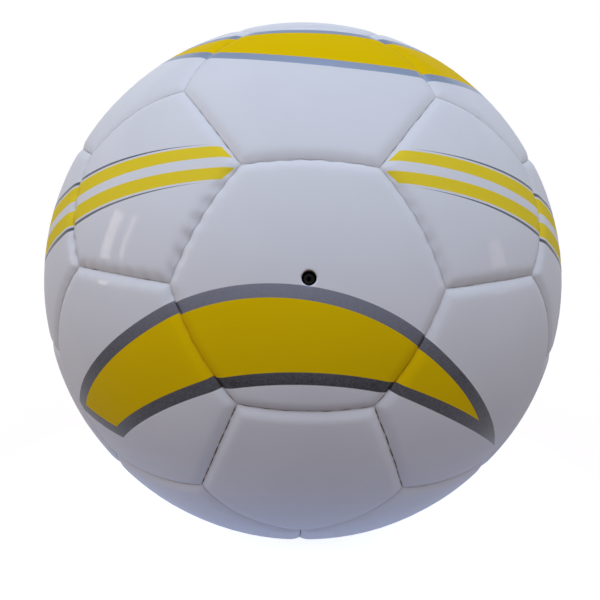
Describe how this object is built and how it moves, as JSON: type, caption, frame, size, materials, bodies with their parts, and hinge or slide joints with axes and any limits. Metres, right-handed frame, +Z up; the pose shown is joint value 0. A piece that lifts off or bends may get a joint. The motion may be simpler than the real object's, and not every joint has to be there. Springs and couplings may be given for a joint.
{
  "type": "futsal ball",
  "caption": "Round sewn futsal ball: hexagon and pentagon panels over an air bladder with a soft filling and a needle valve; white with curved yellow and grey bands.",
  "frame": {"origin": "the ball's centre", "axes": "+Z up through the middles of the crown and foot pentagons; -Y towards the panel with the valve"},
  "size_m": [0.1972, 0.1972, 0.1973],
  "materials": {
    "cover": "gloss",
    "thread": "matte",
    "bladder_rubber": "satin",
    "valve_rubber": "satin",
    "patch_cloth": "matte",
    "filling_fibre": "matte"
  },
  "bodies": {
    "ball": {"foot_pentagon": "cover", "crown_pentagon": "cover", "upper_pentagon_1": "cover", "upper_pentagon_2": "cover", "upper_pentagon_3": "cover", "upper_pentagon_4": "cover", "upper_pentagon_5": "cover", "lower_pentagon_1": "cover", "lower_pentagon_2": "cover", "lower_pentagon_3": "cover", "lower_pentagon_4": "cover", "lower_pentagon_5": "cover", "valve_hexagon": "cover", "upper_hexagon_2": "cover", "upper_hexagon_3": "cover", "upper_hexagon_4": "cover", "upper_hexagon_5": "cover", "crown_hexagon_1": "cover", "crown_hexagon_2": "cover", "crown_hexagon_3": "cover", "crown_hexagon_4": "cover", "crown_hexagon_5": "cover", "lower_hexagon_1": "cover", "lower_hexagon_2": "cover", "lower_hexagon_3": "cover", "lower_hexagon_4": "cover", "lower_hexagon_5": "cover", "foot_hexagon_1": "cover", "foot_hexagon_2": "cover", "foot_hexagon_3": "cover", "foot_hexagon_4": "cover", "foot_hexagon_5": "cover", "seam_thread": "thread", "bladder": "bladder_rubber", "valve_housing": "valve_rubber", "valve_patch": "patch_cloth", "low_bounce_filling": "filling_fibre"},
    "valve_core": {"valve_core": "valve_rubber"}
  },
  "joints": [
    {"name": "valve_core_pull", "type": "slide", "parent": "ball", "child": "valve_core", "axis": [0, -0.9778, 0.2094], "range_m": [0, 0.02]}
  ]
}
